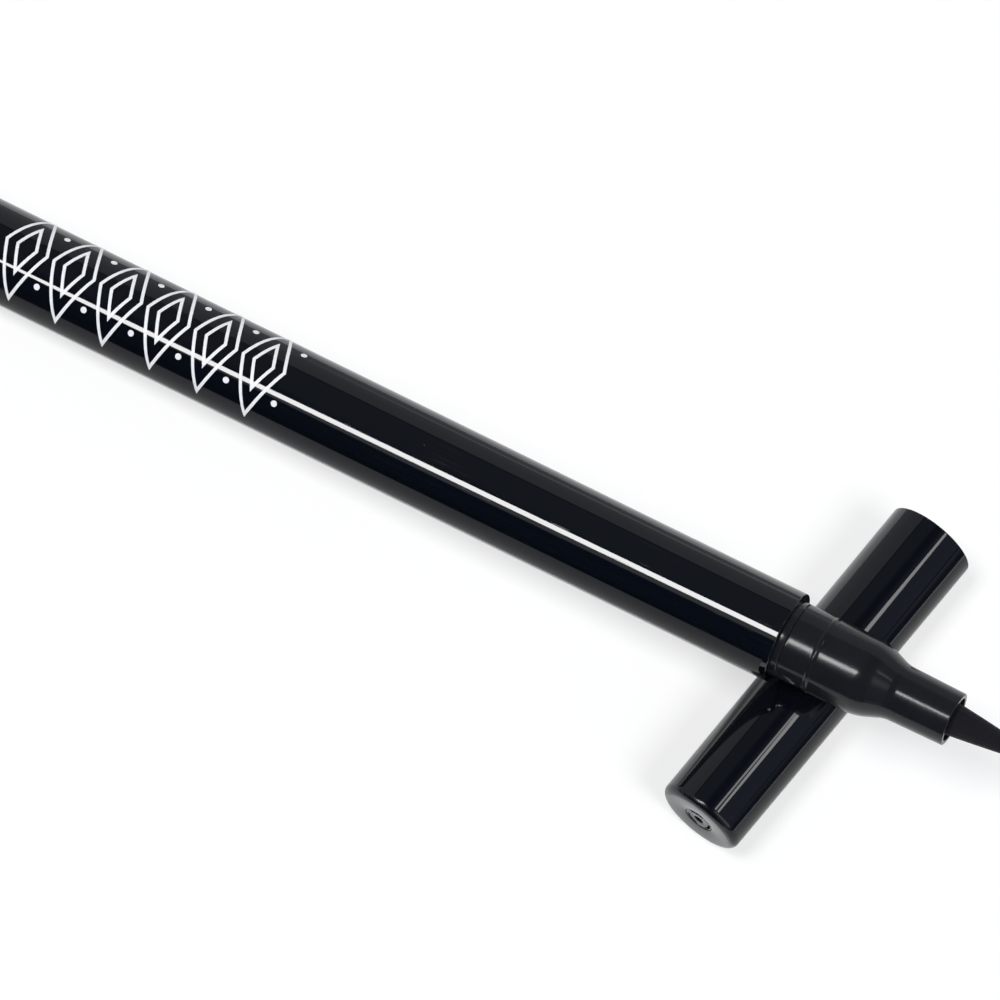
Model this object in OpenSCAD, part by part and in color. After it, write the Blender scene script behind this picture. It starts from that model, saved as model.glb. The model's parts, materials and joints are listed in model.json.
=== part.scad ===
// Liquid eyeliner pen, lying with its front on its own cap.
// Each piece is drawn along its own axis and then laid in the resting pose:
// pen pieces from the tail face, cap pieces from the closed end.

/* [Barrel] */
// Length of the barrel tube
barrel_len = 101.4; // [80:0.1:120]
// Outside diameter at the mouth
barrel_mouth_d = 10.1; // [9.4:0.1:12]
// Outside diameter at the tail
barrel_tail_d = 10.7; // [9.6:0.1:13]
// Rounding of the mouth's rim
barrel_rim_round = 0.12; // [0.05:0.01:0.2]

/* [Tail plug] */
// Thickness of the end disc
tail_disc_t = 1.6; // [1:0.1:3]
// Rounding of the end disc's edge
tail_round = 0.5; // [0.2:0.1:0.9]
// Length of the part inside the barrel
tail_spigot_len = 4.4; // [3:0.1:8]
// Wall of the part inside the barrel
tail_spigot_wall = 0.9; // [0.6:0.1:1.5]
// Diameter of the shallow dish in the end face
tail_dish_d = 7.2; // [4:0.1:8]
// Depth of that dish
tail_dish_depth = 0.3; // [0.1:0.05:0.6]

/* [Ink tank] */
// Wall of the tank
tank_wall = 0.75; // [0.5:0.05:1.2]
// Thickness of the stopper's disc
stopper_disc_t = 0.7; // [0.4:0.1:1.5]
// Length of the stopper inside the tank
stopper_len = 4; // [3:0.1:8]
// Cord thickness of the stopper's rubber ring
seal_cord_d = 0.7; // [0.5:0.05:1]
// Diameter of the steel mixing ball
ball_d = 4.5; // [3:0.1:5.5]

/* [Collector] */
// Length of the closed head at the ink side
head_len = 3; // [2:0.1:6]
// Length of the finned stretch
fins_len = 25; // [15:0.5:30]
// Number of fins
fin_count = 24; // [12:1:30]
// Thickness of a fin
fin_t = 0.4; // [0.3:0.05:0.6]
// Play between the fins and the tank
fin_gap = 0.25; // [0.1:0.05:0.5]
// Diameter of the collector's core
core_d = 3.6; // [3:0.1:4.4]
// Width of the ink slit through the fins
ink_slit_w = 0.3; // [0.2:0.05:0.5]
// Width of the air groove through the fins
air_groove_w = 1; // [0.6:0.1:1.4]
// Thickness of the flange that closes the tank
collector_flange_t = 0.8; // [0.5:0.1:1.5]
// Length of the spigot inside the nib holder
collector_spigot_len = 5; // [3:0.1:6]
// Diameter of the fibre feed rod
feed_d = 2; // [1.4:0.1:2.4]
// Depth to which the feed rod enters the nib
feed_in_nib = 2.2; // [1:0.1:4]

/* [Nib holder] */
// Diameter of the collar
collar_d = 8.5; // [8:0.1:9]
// Length of the collar outside the barrel
collar_len = 9.9; // [8:0.1:12]
// Distance from the barrel to the thin groove
groove_pos = 0.8; // [0.6:0.1:1.5]
// Width of the thin groove
groove_w = 0.2; // [0.1:0.05:0.4]
// Depth of the thin groove
groove_depth = 0.12; // [0.05:0.01:0.2]
// Distance from the barrel to the snap bead
bead_pos = 4.2; // [3:0.1:6]
// Width of the snap bead
bead_w = 0.6; // [0.4:0.1:1]
// Height of the snap bead
bead_h = 0.12; // [0.05:0.01:0.15]
// Length of the cone
cone_len = 3; // [2:0.1:5]
// Rounding where the collar turns into the cone
cone_round = 1.2; // [0.5:0.1:2]
// Diameter of the sleeve where it leaves the cone
sleeve_base_d = 6.16; // [5.6:0.02:6.8]
// Diameter of the sleeve at its end
sleeve_end_d = 5.92; // [5.4:0.02:6.5]
// Length of the sleeve
sleeve_len = 6.7; // [4:0.1:9]
// Rounding of the sleeve's rim
sleeve_round = 0.14; // [0.05:0.01:0.2]
// Wall of the sleeve at its mouth
sleeve_wall = 0.5; // [0.35:0.05:0.7]
// Depth of the recess round the nib
recess_depth = 2; // [1:0.1:4]
// Length of the part inside the barrel
holder_plug_len = 8.38; // [6:0.02:9]
// Diameter of the socket for the collector's spigot
socket_d = 5.2; // [4.6:0.1:5.8]

/* [Nib] */
// Diameter of the nib
nib_d = 3.56; // [3:0.02:4]
// Length that stands out of the sleeve
nib_out_len = 11.5; // [9:0.1:14]
// How fast the nib thins towards its point, 1 is a straight cone
nib_taper_share = 0.73; // [0.5:0.01:1]
// Thickness of the ring behind the nib
retainer_t = 1.2; // [0.8:0.1:2]

/* [Cap] */
// Length of the cap
cap_len = 40.7; // [38:0.1:50]
// Outside diameter at the mouth
cap_mouth_d = 10.05; // [9.8:0.05:12]
// Outside diameter at the closed end
cap_end_d = 9.7; // [9.3:0.05:12]
// Rounding of the closed end
cap_end_round = 0.9; // [0.4:0.1:1.2]
// Rounding of the mouth's rim
cap_rim_round = 0.15; // [0.05:0.05:0.2]
// Thickness of the end wall
cap_end_t = 1.2; // [0.8:0.1:2]
// Distance from the mouth to the lip that holds the inner cap
lip_pos = 10.9; // [10.5:0.1:12]
// Width of that lip
lip_w = 0.5; // [0.3:0.1:1]
// Height of that lip
lip_h = 0.45; // [0.3:0.05:0.6]
// Depth of the snap groove as a share of the cap's wall
snap_depth_share = 0.2; // [0.1:0.05:0.4]

/* [Vent plug] */
// Diameter of the vent plug
vent_d = 3.4; // [3.2:0.1:4]
// Depth of the plug's face below the end of the cap
vent_sunk = 0.2; // [0.1:0.05:0.6]
// Diameter of the middle vent
vent_hole_d = 1.1; // [0.6:0.1:1.4]
// Width of the curved vents
vent_slot_w = 0.32; // [0.2:0.02:0.4]
// Diameter of the ring that the curved vents lie on
vent_ring_d = 2.7; // [2.2:0.1:2.9]
// Number of curved vents
vent_slots = 3; // [2:1:4]
// Angle by which the curved vents are turned
vent_turn_deg = 10; // [0:5:115]
// Diameter of the spigot that the spring sits round
vent_spigot_d = 4.4; // [4:0.1:5]
// Length of that spigot
vent_spigot_len = 1.2; // [0.8:0.1:2]

/* [Inner cap] */
// Play between the sleeve and the inner cap
inner_play = 0.27; // [0.15:0.01:0.4]
// Wall of the inner cap
inner_wall = 0.45; // [0.35:0.05:0.7]
// Depth of the inner cap's cup
inner_depth = 21; // [19:0.1:24]
// Thickness of its base
inner_base_t = 0.8; // [0.5:0.1:1.5]
// Width of the flange at its rim
inner_flange_w = 0.8; // [0.5:0.1:1.2]
// Travel of the inner cap
inner_travel = 1.8; // [1:0.1:2.4]
// Wire of the spring
spring_wire_d = 0.4; // [0.3:0.05:0.5]
// Outside diameter of the spring
spring_d = 6; // [5.6:0.1:6.6]
// Turns of the spring
spring_turns = 5; // [4:1:6]

/* [Pose] */
// Angle in plan between the pen and the cap
cross_deg = 80.5; // [60:0.5:120]
// Where the pen crosses the cap, as a share of the cap's length
cross_share = 0.487; // [0.3:0.001:0.7]
// How far the cap lies clear of the step at the barrel's mouth
step_clear = 0.7; // [0:0.1:3]

/* [Clearances] */
// Gap between pieces that are pushed together
fit_gap = 0.03; // [0.01:0.01:0.05]
// Gap between pieces that slide
run_gap = 0.1; // [0.05:0.01:0.15]
// Gap between the collar and the cap's bore
cap_gap = 0.15; // [0.1:0.01:0.25]
// Gap between the resting pen and the cap below it
rest_gap = 0.05; // [0.02:0.01:0.1]

/* [Hidden] */

// How far a cut runs past a face
overrun = 0.5;
// How far the collector's socket reaches along the collar
socket_share = 0.73;
// Share of the circle that the curved vents open
vent_open_share = 0.6;
// Steps in a rounded edge
round_steps = 6;
// Steps along the nib's taper
nib_steps = 16;
// Steps in a turn of the spring and sides of its wire
turn_steps = 24;
wire_sides = 6;
$fn = 96;

gloss_black = [0.02, 0.02, 0.03];
satin_black = [0.1, 0.11, 0.12];
felt_black = [0.05, 0.05, 0.06];
clear_plastic = [0.8, 0.82, 0.82, 0.5];
pale_plastic = [0.85, 0.85, 0.83];
steel = [0.7, 0.71, 0.72];
red_rubber = [0.45, 0.12, 0.1];
fibre_white = [0.88, 0.86, 0.82];

// Pen, measured along its axis from the tail face
mouth_z = tail_disc_t + barrel_len;
barrel_slope = (barrel_tail_d - barrel_mouth_d) / 2 / mouth_z;
bore_d = collar_d + 2 * run_gap;
plug_d = bore_d - 2 * fit_gap;
tail_spigot_z = tail_disc_t + tail_spigot_len;
plug_z = mouth_z - holder_plug_len;
spigot_z = plug_z - fit_gap;
spigot_end_z = spigot_z + collector_spigot_len;
flange_z = spigot_z - collector_flange_t;
cone_z = mouth_z + collar_len;
cone_deg = atan((collar_d - sleeve_base_d) / 2 / cone_len);
sleeve_z = cone_z + cone_len;
sleeve_end_z = sleeve_z + sleeve_len;
tip_z = sleeve_end_z + nib_out_len;
recess_z = sleeve_end_z - recess_depth;
recess_d = sleeve_end_d - 2 * sleeve_wall;
socket_end_z = mouth_z + collar_len * socket_share;
retainer_z = socket_end_z - fit_gap - retainer_t;
nib_z = socket_end_z + fit_gap;
feed_end_z = nib_z + feed_in_nib;
feed_bore_d = feed_d + 2 * fit_gap;

// Ink tank between the tail plug and the flange of the collector
stopper_z = tail_spigot_z + fit_gap;
tank_z = stopper_z + stopper_disc_t + fit_gap;
tank_end_z = flange_z - fit_gap;
tank_d = bore_d - 2 * run_gap;
tank_bore_d = tank_d - 2 * tank_wall;
stopper_end_z = tank_z + stopper_len;
stopper_d = tank_bore_d - 2 * fit_gap;
seal_z = tank_z + stopper_len / 2;
seal_bed_d = stopper_d - 2 * seal_cord_d;
fins_z = tank_end_z - fins_len;
fin_pitch = fins_len / fin_count;
head_z = fins_z - head_len;
ball_rest_z = stopper_end_z + run_gap + ball_d / 2;
ball_off = (tank_bore_d - ball_d) / 2 - run_gap;

// Cap, measured along its axis from the closed end
cap_slope = (cap_mouth_d - cap_end_d) / 2 / cap_len;
cap_bore_d = collar_d + 2 * cap_gap;
lip_z = cap_len - lip_pos;
inner_bore_d = sleeve_base_d + 2 * inner_play;
inner_d = inner_bore_d + 2 * inner_wall;
chamber_d = inner_d + 4 * run_gap;
inner_rim_z = lip_z - lip_w - run_gap;
inner_base_z = inner_rim_z - inner_depth;
inner_end_z = inner_base_z - inner_base_t;
flange_end_z = inner_rim_z - inner_flange_w;
shoulder_z = flange_end_z - inner_travel - run_gap;
spring_len = inner_end_z - cap_end_t - 2 * fit_gap;
snap_z = cap_len - bead_pos;
snap_depth = snap_depth_share * (cap_mouth_d - cap_bore_d) / 2;

// Resting pose: the tail stands on the floor and the collar on the cap
cap_tilt = atan(cap_slope);
cap_cross = cap_len * cross_share;
cap_cross_r = cap_end_d / 2 + cap_slope * cap_cross;
axis_gap = cap_cross_r + collar_d / 2 + rest_gap;
rim_reach = cap_cross_r + 3 * rest_gap;
rim_drop = axis_gap - barrel_mouth_d / 2;
pen_cross = mouth_z + sqrt(pow(rim_reach, 2) - pow(rim_drop, 2)) + step_clear;
cap_axis_z = cap_end_d / 2 * cos(cap_tilt) + cap_cross * sin(cap_tilt);
function tail_height(tilt) =
    (barrel_tail_d / 2 - tail_round) * cos(tilt) - tail_round * sin(tilt) + tail_round;
function upright(tilt) =
    let (pen = [cos(tilt), 0, sin(tilt)],
         cap = [cos(cross_deg) * cos(cap_tilt), sin(cross_deg) * cos(cap_tilt), sin(cap_tilt)],
         n = cross(pen, cap))
    n[2] / norm(n);
function tilt_after(tilt, steps) = steps == 0 ? tilt
    : tilt_after(asin((cap_axis_z + axis_gap / upright(tilt) - tail_height(tilt)) / pen_cross), steps - 1);
settle_steps = 8;
pen_tilt = tilt_after(0, settle_steps);

// Place of both axes, with the middle of the whole outline over the origin
tail_edge = tail_round * cos(pen_tilt) - (barrel_tail_d / 2 - tail_round) * sin(pen_tilt) - tail_round;
tip_edge = tip_z * cos(pen_tilt);
pen_x = -(tail_edge + tip_edge) / 2;
cap_run = sin(cross_deg) * cos(cap_tilt);
cap_side = sqrt(1 - pow(cap_run, 2));
cap_low_edge = cap_end_round * cap_run - (cap_end_d / 2 - cap_end_round) * cap_side - cap_end_round;
cap_high_edge = (cap_len - cap_rim_round) * cap_run + (cap_mouth_d / 2 - cap_rim_round) * cap_side
    + cap_rim_round;
pen_y = cap_cross * cap_run - (cap_low_edge + cap_high_edge) / 2;
cap_x = pen_x + pen_cross * cos(pen_tilt) - cap_cross * cos(cross_deg) * cos(cap_tilt);
cap_y = pen_y - cap_cross * cap_run;
pen_at = [pen_x, pen_y, tail_height(pen_tilt)];
cap_at = [cap_x, cap_y, cap_end_d / 2 * cos(cap_tilt)];

// Lays a pen piece in its resting place
module on_pen() {
    translate(pen_at) rotate([0, -pen_tilt, 0]) rotate([0, 90, 0]) children();
}

// Lays a cap piece in its resting place
module on_cap() {
    translate(cap_at) rotate([0, 0, cross_deg]) rotate([0, -cap_tilt, 0]) rotate([0, 90, 0]) children();
}

// Points of a rounded corner round a centre, from one angle to another
function corner(r, z, size, from, to) =
    [for (i = [0 : round_steps])
        let (a = from + (to - from) * i / round_steps) [r + size * cos(a), z + size * sin(a)]];

// Solid of revolution from an outline of radius and height
module turned(points) {
    rotate_extrude() polygon(points);
}

// Cylinder from one height to another
module rod(d, from, to) {
    translate([0, 0, from]) cylinder(d = d, h = to - from);
}

module barrel() {
    tail_r = barrel_tail_d / 2 - barrel_slope * tail_disc_t;
    color(gloss_black) on_pen() difference() {
        turned(concat(
            [[0, tail_disc_t + fit_gap], [tail_r, tail_disc_t + fit_gap]],
            corner(barrel_mouth_d / 2 - barrel_rim_round, mouth_z - barrel_rim_round,
                   barrel_rim_round, 0, 90),
            [[0, mouth_z]]));
        rod(bore_d, tail_disc_t - overrun, mouth_z + overrun);
    }
}

module tail_plug() {
    color(gloss_black) on_pen() difference() {
        union() {
            turned(concat(
                [[0, 0]],
                corner(barrel_tail_d / 2 - tail_round, tail_round, tail_round, -90, 0),
                [[barrel_tail_d / 2 - barrel_slope * tail_disc_t, tail_disc_t], [0, tail_disc_t]]));
            rod(plug_d, tail_disc_t - fit_gap, tail_spigot_z);
        }
        rod(tail_dish_d, -overrun, tail_dish_depth);
        rod(plug_d - 2 * tail_spigot_wall, tail_disc_t, tail_spigot_z + overrun);
    }
}

module ink_tank() {
    color(clear_plastic) on_pen() difference() {
        rod(tank_d, tank_z, tank_end_z);
        rod(tank_bore_d, tank_z - overrun, tank_end_z + overrun);
    }
}

module tank_plug() {
    color(pale_plastic) on_pen() difference() {
        union() {
            rod(tank_d, stopper_z, stopper_z + stopper_disc_t);
            rod(stopper_d, stopper_z, stopper_end_z);
        }
        translate([0, 0, seal_z - seal_cord_d / 2 - fit_gap]) difference() {
            cylinder(d = stopper_d + 2 * overrun, h = seal_cord_d + 2 * fit_gap);
            cylinder(d = seal_bed_d, h = seal_cord_d + 2 * fit_gap);
        }
    }
}

module tank_seal() {
    seal_r = seal_bed_d / 2 + fit_gap + seal_cord_d / 2;
    color(red_rubber) on_pen() translate([0, 0, seal_z])
        rotate_extrude() translate([seal_r, 0]) circle(d = seal_cord_d);
}

module mixing_ball() {
    color(steel) on_pen() translate([ball_off, 0, ball_rest_z]) sphere(d = ball_d);
}

module collector() {
    fin_d = tank_bore_d - 2 * fin_gap;
    color(pale_plastic) on_pen() difference() {
        union() {
            rod(stopper_d, head_z, fins_z);
            rod(core_d, fins_z - fit_gap, spigot_z);
            for (i = [1 : fin_count - 1])
                rod(fin_d, fins_z + i * fin_pitch, fins_z + i * fin_pitch + fin_t);
            rod(stopper_d, tank_end_z - collector_flange_t, flange_z);
            rod(tank_d, flange_z, spigot_z);
            rod(socket_d - 2 * fit_gap, flange_z, spigot_end_z);
        }
        rod(feed_bore_d, head_z - overrun, spigot_end_z + overrun);
        translate([-fin_d / 2 - overrun, -ink_slit_w / 2, head_z - overrun])
            cube([(fin_d - feed_bore_d) / 2 + overrun, ink_slit_w, head_len + fins_len - collector_flange_t]);
        translate([core_d / 2, -air_groove_w / 2, fins_z])
            cube([fin_d / 2, air_groove_w, fins_len - collector_flange_t - fin_t]);
    }
}

module feed_rod() {
    color(fibre_white) on_pen() rod(feed_d, head_z, feed_end_z - fit_gap);
}

module nib_holder() {
    collar_r = collar_d / 2;
    bead_r = collar_r + bead_h;
    color(satin_black) on_pen() difference() {
        union() {
            rod(plug_d, plug_z, mouth_z);
            turned(concat(
                [[0, mouth_z - fit_gap], [collar_r, mouth_z - fit_gap],
                 [collar_r, mouth_z + groove_pos - groove_w / 2],
                 [collar_r - groove_depth, mouth_z + groove_pos],
                 [collar_r, mouth_z + groove_pos + groove_w / 2],
                 [collar_r, mouth_z + bead_pos - bead_w / 2],
                 [bead_r, mouth_z + bead_pos - bead_w / 6],
                 [bead_r, mouth_z + bead_pos + bead_w / 6],
                 [collar_r, mouth_z + bead_pos + bead_w / 2]],
                corner(collar_r - cone_round, cone_z - cone_round * tan(cone_deg / 2), cone_round,
                       0, cone_deg),
                [[sleeve_base_d / 2, sleeve_z]],
                corner(sleeve_end_d / 2 - sleeve_round, sleeve_end_z - sleeve_round, sleeve_round, 0, 90),
                [[0, sleeve_end_z]]));
        }
        rod(socket_d, plug_z - overrun, socket_end_z);
        rod(nib_d + 2 * fit_gap, plug_z, sleeve_end_z);
        rod(recess_d, recess_z, sleeve_end_z + overrun);
    }
}

module nib_retainer() {
    color(pale_plastic) on_pen() difference() {
        rod(socket_d - 2 * fit_gap, retainer_z, retainer_z + retainer_t);
        rod(feed_bore_d, retainer_z - overrun, retainer_z + retainer_t + overrun);
    }
}

module nib() {
    color(felt_black) on_pen() difference() {
        turned(concat(
            [[0, nib_z], [nib_d / 2, nib_z]],
            [for (i = [0 : nib_steps])
                let (t = i / nib_steps)
                [nib_d / 2 * pow(1 - t, nib_taper_share), sleeve_end_z + nib_out_len * t]]));
        rod(feed_bore_d, nib_z - overrun, feed_end_z);
    }
}

module cap_shell() {
    cap_bore_r = cap_bore_d / 2;
    color(gloss_black) on_cap() difference() {
        turned(concat(
            [[0, 0]],
            corner(cap_end_d / 2 - cap_end_round, cap_end_round, cap_end_round, -90, 0),
            corner(cap_mouth_d / 2 - cap_rim_round, cap_len - cap_rim_round, cap_rim_round, 0, 90),
            [[0, cap_len]]));
        rod(vent_d + 2 * fit_gap, -overrun, cap_end_t + overrun);
        rod(chamber_d, cap_end_t, shoulder_z + overrun);
        rod(cap_bore_d, shoulder_z, lip_z - lip_w);
        rod(cap_bore_d - 2 * lip_h, lip_z - lip_w - overrun, lip_z + overrun);
        rod(cap_bore_d, lip_z, cap_len + overrun);
        turned([[0, snap_z - bead_w], [cap_bore_r, snap_z - bead_w], [cap_bore_r + snap_depth, snap_z],
                [cap_bore_r, snap_z + bead_w], [0, snap_z + bead_w]]);
    }
}

module cap_vent_plug() {
    slot_deg = 360 / vent_slots * vent_open_share;
    color(satin_black) on_cap() difference() {
        union() {
            rod(vent_d, vent_sunk, cap_end_t + fit_gap + vent_spigot_len);
            rod(vent_spigot_d, cap_end_t + fit_gap, cap_end_t + fit_gap + vent_spigot_len);
        }
        rod(vent_hole_d, 0, cap_len);
        for (i = [0 : vent_slots - 1])
            rotate([0, 0, vent_turn_deg + 360 / vent_slots * i])
                translate([0, 0, vent_sunk - overrun])
                    rotate_extrude(angle = slot_deg)
                        translate([(vent_ring_d - vent_slot_w) / 2, 0])
                            square([vent_slot_w, cap_len]);
    }
}

module inner_cap() {
    flange_d = cap_bore_d - 2 * run_gap;
    color(pale_plastic) on_cap() difference() {
        union() {
            rod(inner_d, inner_end_z, inner_rim_z);
            rod(flange_d, flange_end_z, inner_rim_z);
        }
        rod(inner_bore_d, inner_base_z, inner_rim_z + overrun);
    }
}

module inner_cap_spring() {
    mean_r = (spring_d - spring_wire_d) / 2;
    wire_r = spring_wire_d / 2;
    rise = spring_len - spring_wire_d;
    steps = spring_turns * turn_steps;
    points = [for (i = [0 : steps], k = [0 : wire_sides - 1])
        let (a = 360 * i / turn_steps, b = 360 * k / wire_sides,
             r = mean_r + wire_r * cos(b))
        [r * cos(a), r * sin(a), cap_end_t + fit_gap + wire_r + rise * i / steps + wire_r * sin(b)]];
    sides = [for (i = [0 : steps - 1], k = [0 : wire_sides - 1])
        let (a = i * wire_sides + k, b = i * wire_sides + (k + 1) % wire_sides)
        each [[a, a + wire_sides, b + wire_sides], [a, b + wire_sides, b]]];
    first_end = [for (k = [1 : wire_sides - 2]) [0, k, k + 1]];
    last = steps * wire_sides;
    last_end = [for (k = [1 : wire_sides - 2]) [last, last + k + 1, last + k]];
    echo(least_gap_between_turns = rise / spring_turns - spring_wire_d);
    color(steel) on_cap() polyhedron(points, concat(sides, first_end, last_end));
}

barrel();
tail_plug();
ink_tank();
tank_plug();
tank_seal();
mixing_ball();
collector();
feed_rod();
nib_holder();
nib_retainer();
nib();
cap_shell();
cap_vent_plug();
inner_cap();
inner_cap_spring();
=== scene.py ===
# Liquid eyeliner pen, lying with its front on its own cap
# Sizes are in millimetres, and each piece is drawn along its own axis before it is laid in place
import json
import math

import bmesh
import bpy
from mathutils import Matrix, Vector


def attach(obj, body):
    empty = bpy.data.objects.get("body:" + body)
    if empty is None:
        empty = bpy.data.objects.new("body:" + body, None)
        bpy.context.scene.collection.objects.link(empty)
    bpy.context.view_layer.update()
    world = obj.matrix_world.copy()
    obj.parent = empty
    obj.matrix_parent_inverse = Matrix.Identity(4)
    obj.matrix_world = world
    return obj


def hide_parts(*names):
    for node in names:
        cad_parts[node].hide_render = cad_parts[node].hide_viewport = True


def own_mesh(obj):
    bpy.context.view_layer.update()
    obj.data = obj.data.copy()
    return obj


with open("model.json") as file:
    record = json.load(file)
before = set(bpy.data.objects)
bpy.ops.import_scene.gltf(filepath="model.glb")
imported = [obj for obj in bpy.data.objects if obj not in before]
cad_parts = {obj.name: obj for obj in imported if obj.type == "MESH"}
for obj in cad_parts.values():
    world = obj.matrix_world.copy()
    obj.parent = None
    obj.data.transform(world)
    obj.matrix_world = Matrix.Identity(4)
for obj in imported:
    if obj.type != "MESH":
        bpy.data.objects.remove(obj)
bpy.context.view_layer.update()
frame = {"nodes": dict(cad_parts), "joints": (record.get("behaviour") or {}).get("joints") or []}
mm = 0.001
print("frame loaded:", len(frame["nodes"]), "nodes")


# Places of the two axes, read from the frame

def jointAxis(name):
    return Vector(next(j["axis"] for j in frame["joints"] if j["name"] == name)).normalized()


def placeOn(node, along):
    # Stands z on the node's own axis, from its first face, with x as far up as it goes
    up = (Vector((0, 0, 1)) - along * along.z).normalized()
    turn = Matrix((up, along.cross(up), along))
    points = [turn @ v.co for v in frame["nodes"][node].data.vertices]
    low = [min(p[i] for p in points) for i in range(3)]
    high = [max(p[i] for p in points) for i in range(3)]
    start = Vector(((low[0] + high[0]) / 2, (low[1] + high[1]) / 2, low[2]))
    back = turn.transposed()
    return Matrix.Translation(back @ start) @ back.to_4x4()


penDir = jointAxis("mixing_ball_slide")
capDir = -jointAxis("inner_cap_slide")
penPlace = placeOn("tail_plug", penDir)
capPlace = placeOn("cap_shell", capDir)


def stationOf(node, place, end=max):
    # Where a node starts or ends along an axis
    inward = place.inverted()
    return end((inward @ v.co).z for v in frame["nodes"][node].data.vertices) / mm


penMouth = stationOf("barrel", penPlace)
sleeveEnd = stationOf("nib_holder", penPlace)
capMouth = stationOf("cap_shell", capPlace)


# Modelling moves that several pieces share

fineSides = 192
weldGap = 0.0005
smoothAngle = math.radians(32)


def clearChoice():
    if bpy.context.object and bpy.context.object.mode != "OBJECT":
        bpy.ops.object.mode_set(mode="OBJECT")
    bpy.ops.object.select_all(action="DESELECT")


def ringStack(rings, sides=fineSides):
    # Pulls a circle along z from ring to ring; each ring is (station, radius)
    clearChoice()
    station, radius = rings[0]
    bpy.ops.mesh.primitive_circle_add(vertices=sides, radius=radius, location=(0, 0, station))
    piece = bpy.context.object
    bpy.ops.object.transform_apply(location=True, rotation=False, scale=False)
    bpy.ops.object.mode_set(mode="EDIT")
    bpy.ops.mesh.select_mode(type="EDGE")
    bpy.ops.mesh.select_all(action="SELECT")
    for (z0, r0), (z1, r1) in zip(rings, rings[1:]):
        bpy.ops.mesh.extrude_region_move(TRANSFORM_OT_translate={"value": (0, 0, z1 - z0)})
        if r1 != r0:
            bpy.ops.transform.resize(value=(r1 / r0, r1 / r0, 1), center_override=(0, 0, z1))
    return piece


def pickRings(piece, *rings):
    # Chooses the edges that run round the piece at these stations and radii
    tiny = 0.002
    mesh = bmesh.from_edit_mesh(piece.data)
    for edge in mesh.edges:
        spots = [(v.co.z, math.hypot(v.co.x, v.co.y)) for v in edge.verts]
        edge.select_set(any(
            all(abs(z - station) < tiny and abs(r - radius) < tiny for z, r in spots)
            for station, radius in rings))
    bmesh.update_edit_mesh(piece.data)


def closePole(piece, ring):
    # Draws a small ring together into one point
    pickRings(piece, ring)
    bpy.ops.mesh.merge(type="CENTER")


def healSkin():
    bpy.ops.mesh.select_all(action="SELECT")
    bpy.ops.mesh.remove_doubles(threshold=weldGap)
    bpy.ops.mesh.normals_make_consistent(inside=False)


def roundRings(piece, width, steps, *rings):
    pickRings(piece, *rings)
    bpy.ops.mesh.bevel(offset=width, segments=steps, affect="EDGES", clamp_overlap=False)


def applyAll(piece):
    bpy.context.view_layer.objects.active = piece
    for modifier in list(piece.modifiers):
        bpy.ops.object.modifier_apply(modifier=modifier.name)


def layDown(piece, name, place, material, slot, body, *nodes):
    # Finishes a piece that was drawn along z and lays it where its node is
    clearChoice()
    piece.name = name
    piece.data.name = name
    piece.select_set(True)
    bpy.context.view_layer.objects.active = piece
    piece.matrix_world = place @ Matrix.Scale(mm, 4)
    bpy.ops.object.transform_apply(location=True, rotation=True, scale=True)
    bpy.ops.object.shade_smooth_by_angle(angle=smoothAngle)
    even = piece.modifiers.new("evenNormals", "WEIGHTED_NORMAL")
    even.keep_sharp = True
    applyAll(piece)
    piece.data.materials.clear()
    piece.data.materials.append(material)
    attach(piece, body)
    if nodes:
        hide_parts(*nodes)
    print("made", name, len(piece.data.polygons), "faces")
    return piece


# Shader maths

class Signal:
    # An output socket that can be written into sums and products
    def __init__(self, tree, socket):
        self.tree = tree
        self.socket = socket

    def maths(self, operation, *values):
        return self.tree.maths(operation, *values)

    def __add__(self, other):
        return self.maths("ADD", self, other)

    def __radd__(self, other):
        return self.maths("ADD", other, self)

    def __sub__(self, other):
        return self.maths("SUBTRACT", self, other)

    def __rsub__(self, other):
        return self.maths("SUBTRACT", other, self)

    def __mul__(self, other):
        return self.maths("MULTIPLY", self, other)

    def __rmul__(self, other):
        return self.maths("MULTIPLY", other, self)

    def above(self, edge, soft):
        # 0 below the edge and 1 above it, with a soft step between
        return self.tree.add("ShaderNodeMapRange", {"interpolation_type": "SMOOTHSTEP"},
                             {"Value": self, "From Min": edge - soft, "From Max": edge + soft})

    def between(self, low, high, soft):
        return self.above(low, soft) * (1 - self.above(high, soft))


class NodeBench:
    # A node tree with short ways to add to it
    def __init__(self, tree):
        self.nodes = tree.nodes
        self.links = tree.links

    def feed(self, socket, value):
        if isinstance(value, Signal):
            self.links.new(value.socket, socket)
        else:
            socket.default_value = value

    def add(self, kind, settings=None, inputs=None, output=0):
        node = self.nodes.new(kind)
        for key, value in (settings or {}).items():
            setattr(node, key, value)
        for key, value in (inputs or {}).items():
            self.feed(node.inputs[key], value)
        return Signal(self, node.outputs[output]) if node.outputs else node

    def maths(self, operation, *values):
        return self.add("ShaderNodeMath", {"operation": operation}, dict(enumerate(values)))

    def blend(self, share, first, second):
        # Mixes two colours
        node = self.nodes.new("ShaderNodeMix")
        node.data_type = "RGBA"
        self.feed(node.inputs[0], share)
        self.feed(node.inputs[6], first)
        self.feed(node.inputs[7], second)
        return Signal(self, node.outputs[2])

    def axes(self, vector):
        node = self.nodes.new("ShaderNodeSeparateXYZ")
        self.links.new(vector.socket, node.inputs[0])
        return [Signal(self, out) for out in node.outputs]


def emptyBench(owner):
    # The cleared node tree of a material or of the world
    owner.use_nodes = True
    owner.node_tree.nodes.clear()
    return NodeBench(owner.node_tree)


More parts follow.
